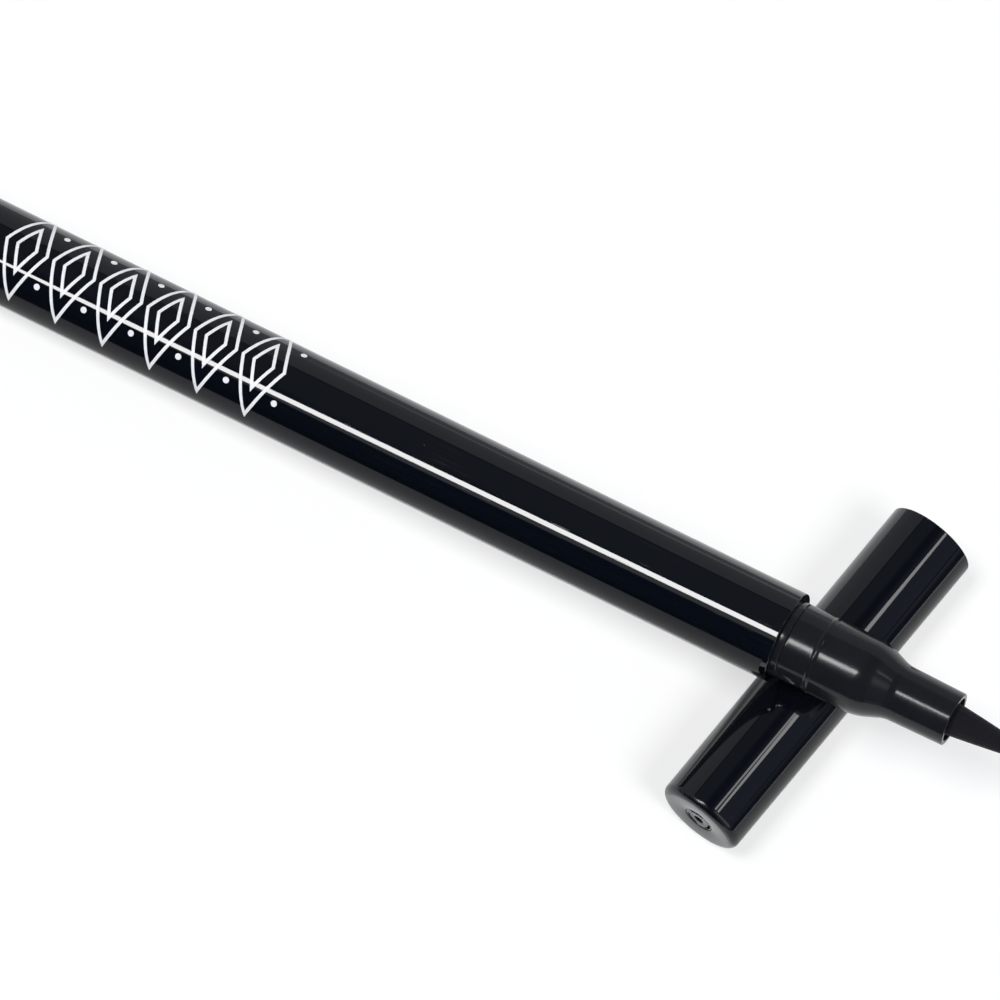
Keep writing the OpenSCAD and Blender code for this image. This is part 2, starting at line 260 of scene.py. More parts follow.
class Finish(NodeBench):
    # A material with one Principled shader; patterns read Object coordinates in millimetres
    def __init__(self, name, colour, roughness, place, **constants):
        self.material = bpy.data.materials.new(name)
        self.material.use_nodes = True
        super().__init__(self.material.node_tree)
        self.shader = self.nodes["Principled BSDF"]
        self.shader.inputs["Base Color"].default_value = (*colour, 1)
        self.shader.inputs["Roughness"].default_value = roughness
        for socket, value in constants.items():
            self.shader.inputs[socket.replace("_", " ")].default_value = value
        raw = self.add("ShaderNodeTexCoord", output=3)
        self.spot = self.add("ShaderNodeMapping", {"vector_type": "TEXTURE"}, {
            "Vector": raw, "Location": place.to_translation(),
            "Rotation": place.to_euler(), "Scale": (mm, mm, mm)})

    def stretched(self, scale):
        return self.add("ShaderNodeMapping", inputs={"Vector": self.spot, "Scale": scale})

    def noise(self, size, detail=3, scale=(1, 1, 1)):
        # Cloudy pattern from 0 to 1 whose patches are about size millimetres across
        return self.add("ShaderNodeTexNoise", inputs={
            "Vector": self.stretched(scale), "Scale": 1 / size, "Detail": detail})

    def specks(self, size, gap):
        # 1 inside small grains of that size, scattered about a gap apart
        fromGrain = self.add("ShaderNodeTexVoronoi", inputs={"Vector": self.spot, "Scale": 1 / gap})
        return 1 - fromGrain.above(size / gap, 0.25 * size / gap)

    def wire(self, **sockets):
        for socket, value in sockets.items():
            self.feed(self.shader.inputs[socket.replace("_", " ")], value)
        return self

    def bump(self, height, depth):
        # Gives the surface a relief of that depth in millimetres
        self.wire(Normal=self.add("ShaderNodeBump", inputs={
            "Height": height, "Distance": depth * mm, "Strength": 1.0}))
        return self


# Finishes

def glossLacquer(name, place, edgeRadius):
    # Deep blue-black lacquer with a little haze from handling, hairline marks and stray dust,
    # worn duller on the rounded edge of the closed end, outside edgeRadius
    black = (0.0016, 0.0026, 0.0044)
    finish = Finish(name, black, 0.05, place, Specular_IOR_Level=0.5)
    haze = finish.noise(9, 4, (1, 1, 0.4))
    hairs = finish.noise(0.22, 2, (1, 1, 0.03)).above(0.66, 0.03) * finish.noise(5).above(0.52, 0.08)
    dust = finish.specks(0.09, 2.6) * finish.noise(7, 2).above(0.55, 0.05)
    x, y, station = finish.axes(finish.spot)
    radius = finish.maths("SQRT", x * x + y * y)
    worn = radius.above(edgeRadius, 0.15) * (1 - station.above(0.7, 0.25))
    marked = finish.blend(hairs, (*black, 1), (0.005, 0.005, 0.006, 1))
    finish.wire(
        Base_Color=finish.blend(dust, marked, (0.05, 0.05, 0.052, 1)),
        Roughness=0.035 + 0.05 * haze.above(0.6, 0.12) + 0.1 * hairs + 0.4 * dust + 0.2 * worn)
    return finish.bump(finish.noise(1.6, 2) + 0.5 * dust, 0.0012).material


def satinMould(name, place):
    # Charcoal moulded plastic with fine grain, rubbed a little smoother round its widest parts
    finish = Finish(name, (0.0085, 0.0095, 0.0115), 0.16, place, Specular_IOR_Level=0.3)
    grain = finish.noise(0.12, 3)
    rubs = finish.noise(0.35, 2, (0.15, 0.15, 1)).above(0.6, 0.06)
    cloud = finish.noise(3, 3)
    finish.wire(
        Base_Color=finish.blend(cloud, (0.0065, 0.0075, 0.0092, 1), (0.0105, 0.0115, 0.0138, 1)),
        Roughness=0.11 + 0.05 * cloud + 0.04 * grain + 0.03 * rubs)
    return finish.bump(grain, 0.0015).material


def inkedFelt(place):
    # Matte felt soaked with ink, its fibres drawn out towards the point
    finish = Finish("inkedFelt", (0.009, 0.0085, 0.0105), 0.85, place,
                    Specular_IOR_Level=0.1, Sheen_Weight=0.05)
    fibres = finish.noise(0.09, 4, (1, 1, 0.06))
    clumps = finish.noise(0.5, 3, (1, 1, 0.15))
    finish.wire(
        Base_Color=finish.blend(fibres * 0.6 + clumps * 0.4,
                                (0.005, 0.0045, 0.006, 1), (0.0145, 0.0135, 0.017, 1)),
        Roughness=0.75 + 0.2 * fibres)
    return finish.bump(fibres + 0.6 * clumps, 0.025).material


def printInk(place):
    # Thin white ink, printed on the lacquer
    finish = Finish("printInk", (0.8, 0.81, 0.82), 0.4, place, Specular_IOR_Level=0.4)
    film = finish.noise(0.3, 3)
    finish.wire(
        Base_Color=finish.blend(film, (0.7, 0.71, 0.72, 1), (0.88, 0.89, 0.9, 1)),
        Roughness=0.32 + 0.15 * film)
    return finish.bump(film, 0.002).material


def tankPlastic(place):
    # Translucent tank, stained by the ink that runs along it
    finish = Finish("tankPlastic", (0.7, 0.72, 0.72), 0.25, place, Transmission_Weight=0.75, IOR=1.5)
    film = finish.noise(4, 4, (1, 1, 0.25)).above(0.5, 0.15)
    finish.wire(
        Base_Color=finish.blend(film, (0.74, 0.76, 0.76, 1), (0.2, 0.2, 0.22, 1)),
        Roughness=0.2 + 0.2 * film)
    return finish.bump(finish.noise(0.8), 0.004).material


def paleMould(place):
    # Natural moulded plastic, greyed where ink has wetted it
    finish = Finish("paleMould", (0.72, 0.72, 0.7), 0.4, place, Specular_IOR_Level=0.5)
    stain = finish.noise(1.8, 4).above(0.54, 0.1)
    finish.wire(
        Base_Color=finish.blend(stain, (0.74, 0.74, 0.71, 1), (0.12, 0.12, 0.13, 1)),
        Roughness=0.36 + 0.12 * finish.noise(0.5))
    return finish.bump(finish.noise(0.25), 0.003).material


def darkMould(place):
    # Dark grey moulded plastic of the inner cap, with smears of dried ink
    finish = Finish("darkMould", (0.06, 0.061, 0.066), 0.4, place, Specular_IOR_Level=0.5)
    smear = finish.noise(1.4, 4, (1, 1, 0.4)).above(0.55, 0.08)
    finish.wire(
        Base_Color=finish.blend(smear, (0.07, 0.071, 0.076, 1), (0.014, 0.013, 0.016, 1)),
        Roughness=0.38 - 0.15 * smear + 0.08 * finish.noise(0.3))
    return finish.bump(finish.noise(0.2), 0.003).material


def wetFibre(place):
    # Bundle of drawn fibres that carries the ink
    finish = Finish("wetFibre", (0.1, 0.098, 0.105), 0.7, place)
    strands = finish.noise(0.12, 3, (1, 1, 0.04))
    finish.wire(
        Base_Color=finish.blend(strands, (0.035, 0.033, 0.04, 1), (0.2, 0.195, 0.2, 1)),
        Roughness=0.6 + 0.25 * strands)
    return finish.bump(strands, 0.03).material


def sealRubber(place):
    # Dull red rubber with a cloudy bloom
    finish = Finish("sealRubber", (0.3, 0.06, 0.045), 0.6, place, Specular_IOR_Level=0.35)
    bloom = finish.noise(0.6, 4)
    finish.wire(
        Base_Color=finish.blend(bloom, (0.24, 0.045, 0.035, 1), (0.36, 0.09, 0.07, 1)),
        Roughness=0.5 + 0.25 * bloom)
    return finish.bump(finish.noise(0.1), 0.004).material


def steel(name, place, roughness, brush):
    # Bright steel whose polish varies a little along its brushing
    finish = Finish(name, (0.6, 0.61, 0.63), roughness, place, Metallic=1.0)
    marks = finish.noise(0.15, 3, brush)
    finish.wire(
        Base_Color=finish.blend(marks, (0.52, 0.53, 0.55, 1), (0.68, 0.69, 0.71, 1)),
        Roughness=roughness + 0.12 * marks)
    return finish.bump(marks, 0.0015).material


wornFrom = {"tail": 4.9, "cap": 4.1}
penLacquer = glossLacquer("penLacquer", penPlace, wornFrom["tail"])
capLacquer = glossLacquer("capLacquer", capPlace, wornFrom["cap"])
penSatin = satinMould("penSatin", penPlace)
capSatin = satinMould("capSatin", capPlace)
print("finishes ready")


# Barrel

barrelSize = {"tailRadius": 5.34, "mouthRadius": 5.05, "boreRadius": 4.35, "rim": 0.12, "innerRim": 0.06}


def barrelRadius(station):
    # The taper runs on over the tail disc, to the pen's very end
    share = station / penMouth
    return barrelSize["tailRadius"] + (barrelSize["mouthRadius"] - barrelSize["tailRadius"]) * share


def makeBarrel(s):
    tailEnd = stationOf("barrel", penPlace, min)
    start = (tailEnd, barrelRadius(tailEnd))
    mouth = (penMouth, s["mouthRadius"])
    innerMouth = (penMouth, s["boreRadius"])
    innerStart = (tailEnd, s["boreRadius"])
    piece = ringStack([start, mouth, innerMouth, innerStart, start])
    healSkin()
    roundRings(piece, s["rim"], 6, mouth)
    roundRings(piece, s["innerRim"], 3, innerMouth, start)
    layDown(piece, "barrelTube", penPlace, penLacquer, "gloss_black", "pen", "barrel")


makeBarrel(barrelSize)


# Printed band: nested lozenges in thin white outline round the tail half

bandSize = {
    "first": 9.6, "pitch": 6.0, "count": 6, "halfLength": 2.75, "halfHeight": 6.9,
    "line": 0.36, "innerShare": 0.5, "dotRadius": 0.36, "film": 0.016, "cuts": 14,
}


def outlineLozenge(station, halfLength, halfHeight, line, cuts):
    # A flat four-sided frame: x runs round the barrel and z along it
    bpy.ops.mesh.primitive_circle_add(vertices=4, radius=1, fill_type="NGON", location=(0, 0, 0),
                                      rotation=(math.radians(90), 0, 0))
    piece = bpy.context.object
    bpy.ops.object.transform_apply(location=False, rotation=True, scale=False)
    bpy.ops.object.mode_set(mode="EDIT")
    bpy.ops.mesh.select_all(action="SELECT")
    bpy.ops.transform.resize(value=(halfHeight, 1, halfLength), center_override=(0, 0, 0))
    bpy.ops.mesh.inset(thickness=line, depth=0)
    bpy.ops.mesh.delete(type="FACE")
    bpy.ops.mesh.select_all(action="SELECT")
    bpy.ops.mesh.subdivide(number_cuts=cuts)
    bpy.ops.transform.translate(value=(0, 0, station))
    bpy.ops.object.mode_set(mode="OBJECT")
    return piece


def fillDot(station, across, radius):
    bpy.ops.mesh.primitive_circle_add(vertices=20, radius=radius, fill_type="TRIFAN",
                                      location=(across, 0, station), rotation=(math.radians(90), 0, 0))
    piece = bpy.context.object
    bpy.ops.object.transform_apply(location=True, rotation=True, scale=False)
    return piece


def wrapOnBarrel(piece, lift):
    # Rolls the flat artwork round the barrel, with x as arc length from the top line
    for vertex in piece.data.vertices:
        radius = barrelRadius(vertex.co.z)
        angle = vertex.co.x / radius
        vertex.co.x = (radius + lift) * math.cos(angle)
        vertex.co.y = (radius + lift) * math.sin(angle)


def makeBand(s):
    clearChoice()
    flats = []
    for i in range(s["count"]):
        station = s["first"] + s["pitch"] * i
        flats.append(outlineLozenge(station, s["halfLength"], s["halfHeight"], s["line"], s["cuts"]))
        flats.append(outlineLozenge(station, s["halfLength"] * s["innerShare"],
                                    s["halfHeight"] * s["innerShare"], s["line"], s["cuts"]))
        for side in (-1, 1):
            flats.append(fillDot(station + s["pitch"] / 2, side * s["halfHeight"] * s["innerShare"],
                                 s["dotRadius"]))
    clearChoice()
    for flat in flats:
        flat.select_set(True)
    bpy.context.view_layer.objects.active = flats[0]
    bpy.ops.object.join()
    piece = bpy.context.object
    wrapOnBarrel(piece, s["film"] / 2)
    bpy.ops.object.mode_set(mode="EDIT")
    bpy.ops.mesh.select_all(action="SELECT")
    bpy.ops.mesh.normals_make_consistent(inside=False)
    bpy.ops.object.mode_set(mode="OBJECT")
    film = piece.modifiers.new("film", "SOLIDIFY")
    film.thickness = s["film"]
    film.offset = 0
    applyAll(piece)
    layDown(piece, "printBand", penPlace, printInk(penPlace), "gloss_black", "pen")


makeBand(bandSize)


# Tail plug

tailSize = {
    "disc": 1.6, "round": 0.5, "dishRadius": 3.6, "dishDepth": 0.3,
    "dishRound": 0.12, "gateRadius": 0.45, "gateHeight": 0.1, "spigotRadius": 4.32,
    "spigotBore": 3.42, "pole": 0.05,
}


def makeTail(s):
    dishEdge = (0, s["dishRadius"])
    dishFoot = (s["dishDepth"], s["dishRadius"] - s["dishRound"])
    gateFoot = (s["dishDepth"], s["gateRadius"])
    gateTop = (s["dishDepth"] - s["gateHeight"], s["gateRadius"] * 0.8)
    gatePole = (gateTop[0], s["pole"])
    edge = (0, barrelRadius(0))
    seat = (s["disc"], barrelRadius(s["disc"]))
    neck = (s["disc"], s["spigotRadius"])
    spigotEnd = stationOf("tail_plug", penPlace)
    end = (spigotEnd, s["spigotRadius"])
    innerEnd = (spigotEnd, s["spigotBore"])
    floor = (s["disc"], s["spigotBore"])
    floorPole = (s["disc"], s["pole"])
    piece = ringStack([gatePole, gateTop, gateFoot, dishFoot, dishEdge, edge, seat, neck, end,
                       innerEnd, floor, floorPole])
    closePole(piece, gatePole)
    closePole(piece, floorPole)
    healSkin()
    roundRings(piece, s["round"], 8, edge)
    roundRings(piece, s["dishRound"] / 2, 3, dishEdge, end)
    layDown(piece, "tailDisc", penPlace, penLacquer, "gloss_black", "pen", "tail_plug")


makeTail(tailSize)


# Collar, cone and sleeve that hold the nib

holderSize = {
    "plugRadius": 4.32, "collarRadius": 4.25,
    "groove": 0.8, "grooveHalf": 0.1, "grooveDepth": 0.12, "grooveRound": 0.03,
    "bead": 4.2, "beadHalf": 0.3, "beadHeight": 0.09, "beadRound": 0.085,
    "support": 0.12, "cone": 9.9, "coneRound": 1.0,
    "sleeve": 12.9, "sleeveRadius": 3.08, "filletRound": 0.5, "endRadius": 2.96, "sleeveRim": 0.14,
    "recess": 2.0, "recessRadius": 2.46, "nibBore": 1.81, "socket": 7.23, "socketRadius": 2.6,
}


def makeHolder(s):
    # Its stations count from the barrel's mouth, and the recess from the sleeve's end
    plugStart = stationOf("nib_holder", penPlace, min)
    cone = (penMouth + s["cone"], s["collarRadius"])
    sleeve = (penMouth + s["sleeve"], s["sleeveRadius"])
    rim = (sleeveEnd, s["endRadius"])
    innerRim = (sleeveEnd, s["recessRadius"])
    recess = sleeveEnd - s["recess"]
    socket = penMouth + s["socket"]
    start = (plugStart, s["plugRadius"])
    bead = penMouth + s["bead"]
    beadTop = s["collarRadius"] + s["beadHeight"]
    beadRings = [(bead - s["beadHalf"], s["collarRadius"]), (bead - s["beadHalf"] / 3, beadTop),
                 (bead + s["beadHalf"] / 3, beadTop), (bead + s["beadHalf"], s["collarRadius"])]
    groove = penMouth + s["groove"]
    grooveRings = [(groove - s["grooveHalf"], s["collarRadius"]),
                   (groove, s["collarRadius"] - s["grooveDepth"]),
                   (groove + s["grooveHalf"], s["collarRadius"])]
    # Plain rings close beside the groove and the bead keep their shading to themselves
    supports = [(station, s["collarRadius"]) for station in (
        groove + s["grooveHalf"] + s["support"], bead - s["beadHalf"] - s["support"],
        bead + s["beadHalf"] + s["support"])]
    piece = ringStack([
        start, (penMouth, s["plugRadius"]), (penMouth, s["collarRadius"]),
        *grooveRings, *supports[:2], *beadRings, supports[2],
        cone, sleeve, rim, innerRim, (recess, s["recessRadius"]), (recess, s["nibBore"]),
        (socket, s["nibBore"]), (socket, s["socketRadius"]), (plugStart, s["socketRadius"]), start])
    healSkin()
    roundRings(piece, s["coneRound"], 8, cone)
    roundRings(piece, s["filletRound"], 5, sleeve)
    roundRings(piece, s["sleeveRim"], 5, rim)
    roundRings(piece, s["sleeveRim"] / 3, 3, innerRim)
    roundRings(piece, s["beadRound"], 4, *beadRings)
    roundRings(piece, s["grooveRound"], 2, grooveRings[0], grooveRings[2])
    layDown(piece, "nibCollar", penPlace, penSatin, "satin_black", "pen", "nib_holder")


makeHolder(holderSize)


# Felt nib

nibSize = {
    "radius": 1.78, "power": 0.73, "steps": 30, "blunt": 0.2, "feedRadius": 1.03, "feedDepth": 2.2,
    "flutes": 17, "sidesPerFlute": 8, "fluteDepth": 0.022, "fluteStart": -1.5, "fluteFade": 3.0,
    "fluteWaver": 1.3, "fluteTwist": 0.35, "pole": 0.02,
}


def makeNib(s):
    # The flutes start and fade in over lengths that count from the sleeve's end
    start = stationOf("nib", penPlace, min)
    length = stationOf("nib", penPlace) - sleeveEnd
    rings = [(start + s["feedDepth"], s["pole"]), (start + s["feedDepth"], s["feedRadius"]),
             (start, s["feedRadius"]), (start, s["radius"])]
    for i in range(s["steps"]):
        share = i / s["steps"]
        rings.append((sleeveEnd + length * share, s["radius"] * (1 - share) ** s["power"]))
    tip = (sleeveEnd + length * (1 - s["blunt"] / s["steps"]), s["pole"])
    rings.append(tip)
    piece = ringStack(rings, s["flutes"] * s["sidesPerFlute"])
    closePole(piece, rings[0])
    closePole(piece, tip)
    healSkin()
    bpy.ops.object.mode_set(mode="OBJECT")
    for vertex in piece.data.vertices:
        # The bundled fibres leave shallow flutes that fade into the sleeve
        past = vertex.co.z - sleeveEnd - s["fluteStart"]
        angle = math.atan2(vertex.co.y, vertex.co.x)
        waver = s["fluteWaver"] * math.sin(2 * angle) + s["fluteTwist"] * vertex.co.z
        flute = 0.5 + 0.5 * math.sin(s["flutes"] * angle + waver)
        radius = math.hypot(vertex.co.x, vertex.co.y)
        if radius > s["feedRadius"] / 2 and past > 0:
            shrink = 1 - s["fluteDepth"] * min(1, past / s["fluteFade"]) * flute
            vertex.co.x *= shrink
            vertex.co.y *= shrink
    layDown(piece, "feltNib", penPlace, inkedFelt(penPlace), "nib_felt", "pen", "nib")


makeNib(nibSize)


# Cap

capSize = {
    "endRadius": 4.84, "mouthRadius": 5.02, "endRound": 0.9, "rim": 0.15,
    "ventRadius": 1.73, "endWall": 1.2, "dishRadius": 3.9, "dishDepth": 0.15, "dishSteps": 7,
    "ventRound": 0.05, "chamberRadius": 4.0, "boreRadius": 4.4, "shoulder": 14.2,
    "lipStart": 11.4, "lipEnd": 10.9, "lipRadius": 3.95, "lipRound": 0.08,
    "snap": 4.2, "snapHalf": 0.6, "snapDepth": 0.13,
}


def makeCap(s):
    # The end is drawn in a little towards the vent, and inside stations count back from the mouth
    end = (0, s["endRadius"])
    mouth = (capMouth, s["mouthRadius"])
    innerMouth = (capMouth, s["boreRadius"])
    vent = (s["dishDepth"], s["ventRadius"])
    dish = [vent]
    for i in range(1, s["dishSteps"] + 1):
        share = i / s["dishSteps"]
        dish.append((s["dishDepth"] * (1 - share) ** 2,
                     s["ventRadius"] + (s["dishRadius"] - s["ventRadius"]) * share))
    snap = capMouth - s["snap"]
    lipStart = capMouth - s["lipStart"]
    lipEnd = capMouth - s["lipEnd"]
    shoulder = capMouth - s["shoulder"]
    lip = [(lipEnd, s["boreRadius"]), (lipEnd, s["lipRadius"]),
           (lipStart, s["lipRadius"]), (lipStart, s["boreRadius"])]
    piece = ringStack([
        *dish, end, mouth, innerMouth,
        (snap + s["snapHalf"], s["boreRadius"]), (snap, s["boreRadius"] + s["snapDepth"]),
        (snap - s["snapHalf"], s["boreRadius"]), *lip,
        (shoulder, s["boreRadius"]), (shoulder, s["chamberRadius"]),
        (s["endWall"], s["chamberRadius"]), (s["endWall"], s["ventRadius"]), vent])
    healSkin()
    roundRings(piece, s["endRound"], 10, end)
    roundRings(piece, s["rim"], 6, mouth)
    roundRings(piece, s["rim"] / 2, 3, innerMouth)
    roundRings(piece, s["lipRound"], 3, lip[1], lip[2])
    roundRings(piece, s["ventRound"], 3, vent)
    layDown(piece, "capTube", capPlace, capLacquer, "gloss_black", "cap", "cap_shell")


makeCap(capSize)


# Vent plug in the closed end

ventSize = {
    "radius": 1.7, "holeRadius": 0.55, "holeDepth": 1.4, "slotInner": 1.19,
    "slotOuter": 1.51, "slotDepth": 0.7, "slots": 3, "openShare": 0.6, "firstAngle": 70.0,
    "round": 0.07, "wallEnd": 1.23, "spigotRadius": 2.2, "boreRadius": 0.5, "sides": 120,
}


def makeVent(s):
    face = stationOf("cap_vent_plug", capPlace, min)
    end = stationOf("cap_vent_plug", capPlace)
    hole = (face, s["holeRadius"])
    outer = (face, s["radius"])
    spigotEnd = (end, s["spigotRadius"])
    piece = ringStack([
        (end, s["boreRadius"]), (face + s["holeDepth"], s["holeRadius"]), hole,
        (face, s["slotInner"]), (face, s["slotOuter"]), outer,
        (s["wallEnd"], s["radius"]), (s["wallEnd"], s["spigotRadius"]), spigotEnd,
        (end, s["boreRadius"])], s["sides"])
    healSkin()
    roundRings(piece, s["round"], 3, outer, spigotEnd)
    roundRings(piece, s["round"], 3, hole)
    # Three curved slots round the hole
    mesh = bmesh.from_edit_mesh(piece.data)
    bpy.ops.mesh.select_mode(type="FACE")
    for side in mesh.faces:
        middle = side.calc_center_median()
        angle = math.degrees(math.atan2(middle.y, middle.x)) - s["firstAngle"]
        turn = angle % (360 / s["slots"])
        radius = math.hypot(middle.x, middle.y)
        onFace = abs(middle.z - face) < weldGap * 2
        inTrack = s["slotInner"] < radius < s["slotOuter"]
        side.select_set(onFace and inTrack and turn < 360 / s["slots"] * s["openShare"])
    bmesh.update_edit_mesh(piece.data)
    bpy.ops.mesh.extrude_region_move(TRANSFORM_OT_translate={"value": (0, 0, s["slotDepth"])})
    healSkin()
    layDown(piece, "capVent", capPlace, capSatin, "satin_black", "cap", "cap_vent_plug")


makeVent(ventSize)


# Inner cap that seals the nib

cupSize = {
    "radius": 3.8, "flange": 0.8, "flangeRadius": 4.3, "boreRadius": 3.35, "floor": 0.8,
    "edge": 0.12, "pole": 0.05, "sides": 144,
}


def makeCup(s):
    cupEnd = stationOf("inner_cap", capPlace, min)
    cupRim = stationOf("inner_cap", capPlace)
    endPole = (cupEnd, s["pole"])
    end = (cupEnd, s["radius"])
    flange = (cupRim - s["flange"], s["flangeRadius"])
    rim = (cupRim, s["flangeRadius"])
    innerRim = (cupRim, s["boreRadius"])
    floor = (cupEnd + s["floor"], s["boreRadius"])
    floorPole = (floor[0], s["pole"])
    piece = ringStack([endPole, end, (flange[0], s["radius"]), flange, rim, innerRim, floor, floorPole],
                      s["sides"])
    closePole(piece, endPole)
    closePole(piece, floorPole)
    healSkin()
    roundRings(piece, s["edge"], 4, end, rim)
    roundRings(piece, s["edge"] / 2, 3, flange, innerRim)
    roundRings(piece, s["edge"] * 2, 4, floor)
    layDown(piece, "innerCup", capPlace, darkMould(capPlace), "inner_plastic", "inner_cap", "inner_cap")


makeCup(cupSize)


# Coil spring behind the inner cap

springSize = {"outerRadius": 3.0, "wire": 0.4, "turns": 5, "steps": 40, "sides": 14}


def makeSpring(s):
    clearChoice()
    wireRadius = s["wire"] / 2
    start = stationOf("inner_cap_spring", capPlace, min)
    length = stationOf("inner_cap_spring", capPlace) - start
    bpy.ops.mesh.primitive_circle_add(
        vertices=s["sides"], radius=wireRadius, rotation=(math.radians(90), 0, 0),
        location=(s["outerRadius"] - wireRadius, 0, start + wireRadius))
    piece = bpy.context.object
    bpy.ops.object.transform_apply(location=True, rotation=True, scale=False)
    winding = piece.modifiers.new("winding", "SCREW")
    winding.axis = "Z"
    winding.angle = 2 * math.pi
    winding.iterations = s["turns"]
    winding.steps = winding.render_steps = s["steps"]
    winding.screw_offset = (length - s["wire"]) / s["turns"]
    applyAll(piece)
    bpy.ops.object.mode_set(mode="EDIT")
    healSkin()
    bpy.ops.mesh.select_mode(type="EDGE")
    bpy.ops.mesh.select_all(action="DESELECT")
    bpy.ops.mesh.select_non_manifold()
    bpy.ops.mesh.fill_holes(sides=s["sides"])
    healSkin()
    layDown(piece, "returnSpring", capPlace, steel("springSteel", capPlace, 0.22, (1, 1, 1)),
            "spring_steel", "cap", "inner_cap_spring")
    travel = next(j["range_m"][1] for j in frame["joints"] if j["name"] == "inner_cap_slide") / mm
    (length - travel) / length
    capPlace @ Vector((0, 0, start * mm))
    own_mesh(piece)


makeSpring(springSize)


# Inner pieces that keep their own shape

palePlastic = paleMould(penPlace)
innerFinishes = {
    "ink_tank": tankPlastic(penPlace), "tank_seal": sealRubber(penPlace), "feed_rod": wetFibre(penPlace),
    "mixing_ball": steel("ballSteel", penPlace, 0.06, (1, 1, 0.2)),
    "tank_plug": palePlastic, "collector": palePlastic, "nib_retainer": palePlastic,
}
for node, material in innerFinishes.items():
    frame["nodes"][node].data.materials.clear()
    frame["nodes"][node].data.materials.append(material)
print("inner pieces finished")


# Floor

floorSize = {"half": 4.0, "colour": (0.93, 0.93, 0.93), "glow": 0.62, "glossGlow": 0.25}


def makeFloor(s):
    # White table that keeps the object's shadow and glows a little to the camera and in the gloss
    clearChoice()
    bpy.ops.mesh.primitive_plane_add(size=2 * s["half"])
    floor = bpy.context.object
    floor.name = "floor"
    material = bpy.data.materials.new("whiteTable")
    bench = emptyBench(material)
    path = bench.nodes.new("ShaderNodeLightPath")
    seen = ((Signal(bench, path.outputs["Is Camera Ray"])
             + Signal(bench, path.outputs["Is Transmission Ray"])) * s["glow"]
            + Signal(bench, path.outputs["Is Glossy Ray"]) * s["glossGlow"])
    paint = bench.add("ShaderNodeBsdfDiffuse", inputs={"Color": (*s["colour"], 1)})
    glow = bench.add("ShaderNodeEmission", inputs={"Strength": 1.0})
    mixed = bench.add("ShaderNodeMixShader", inputs={0: seen, 1: paint, 2: glow})
    bench.add("ShaderNodeOutputMaterial", inputs={"Surface": mixed})
    floor.data.materials.append(material)


makeFloor(floorSize)


# Cards of grey and black round the table, in metres
# Only the gloss sees them, and only on the side with the pen

cards = {
    "frontCard": {"feet": ((-0.115, -0.019), (0.085, -0.09)), "tops": (0.017, 0.017),
                  "tone": (0.012, 0.014, 0.02)},
    # Painted shade: a grey strip that stands in for the shaded floor along the pen's near side, as the
    # gloss sees it
    "frontShadeStrip": {"feet": ((-0.085, -0.0061), (0.0345, -0.0089)), "tops": (0.0061, 0.0158),
                   "tone": (0.5, 0.5, 0.51)},
    "backCard": {"feet": ((0.03, 0.066), (-0.115, 0.023)), "tops": (0.015, 0.015),
                 "tone": (0.4, 0.41, 0.43)},
    # Painted shade: a grey strip that stands in for the shaded floor beside the cap's right flank, as
    # the gloss sees it
    "rightShadeStrip": {"feet": ((0.0414, -0.024), (0.0491, 0.022)), "tops": (0.007, 0.007),
                   "tone": (0.62, 0.62, 0.62)},
    "rightCard": {"feet": ((0.075, -0.06), (0.075, 0.09)), "tops": (0.012, 0.012),
                  "tone": (0.05, 0.055, 0.07), "topTone": (0.2, 0.22, 0.28), "topFrom": (0.0085, 0.003)},
}


def standCard(name, s):
    (x0, y0), (x1, y1) = s["feet"]
    top0, top1 = s["tops"]
    clearChoice()
    bpy.ops.mesh.primitive_plane_add(size=2)
    card = bpy.context.object
    card.name = name
    spots = ((x0, y0, 0), (x1, y1, 0), (x0, y0, top0), (x1, y1, top1))
    for vertex, spot in zip(card.data.vertices, spots):
        vertex.co = spot
    material = bpy.data.materials.new(name)
    bench = emptyBench(material)
    tone = (*s["tone"], 1)
    if "topTone" in s:
        height = bench.axes(bench.add("ShaderNodeTexCoord", output=3))[2]
        tone = bench.blend(height.above(*s["topFrom"]), tone, (*s["topTone"], 1))
    penSide = Signal(bench, bench.nodes.new("ShaderNodeNewGeometry").outputs["Backfacing"])
    clear = bench.add("ShaderNodeBsdfTransparent")
    shine = bench.add("ShaderNodeEmission", inputs={"Color": tone, "Strength": 1.0})
    mixed = bench.add("ShaderNodeMixShader", inputs={0: penSide, 1: clear, 2: shine})
    bench.add("ShaderNodeOutputMaterial", inputs={"Surface": mixed})
    card.data.materials.append(material)
    card.visible_camera = card.visible_diffuse = card.visible_shadow = False


for cardName, cardSize in cards.items():
    standCard(cardName, cardSize)


# Room light: two grey walls, a dim ceiling, a pale horizon, and a dark side behind the camera
# Edges are parts of the view direction, each with the softness of its step last

room = {
    "ceiling": (0.13, 0.14, 0.17), "wall": (0.41, 0.42, 0.44), "front": (0.02, 0.03, 0.06),
    "right": (0.2, 0.23, 0.29), "cornice": (0.04, 0.045, 0.06), "horizon": (0.9, 0.9, 0.9),
    "coneGlow": (1.25, 1.27, 1.3), "leftSlope": 1.327, "backSlope": 0.9325, "wallEdge": (0.0, 0.02),
    "corniceEdges": (-0.07, 0.0, 0.02), "leftWallEnd": (0.5, 0.1), "darkStrip": (-0.02, 0.3, 0.1),
    "frontEdge": (0.35, 0.2), "rightEdge": (0.45, 0.15), "glowFrom": (0.42, 0.08),
    "glowEdges": (0.12, 0.45, 0.12), "paleEnd": (0.3, 0.2), "horizonEdge": (0.06, 0.02),
}


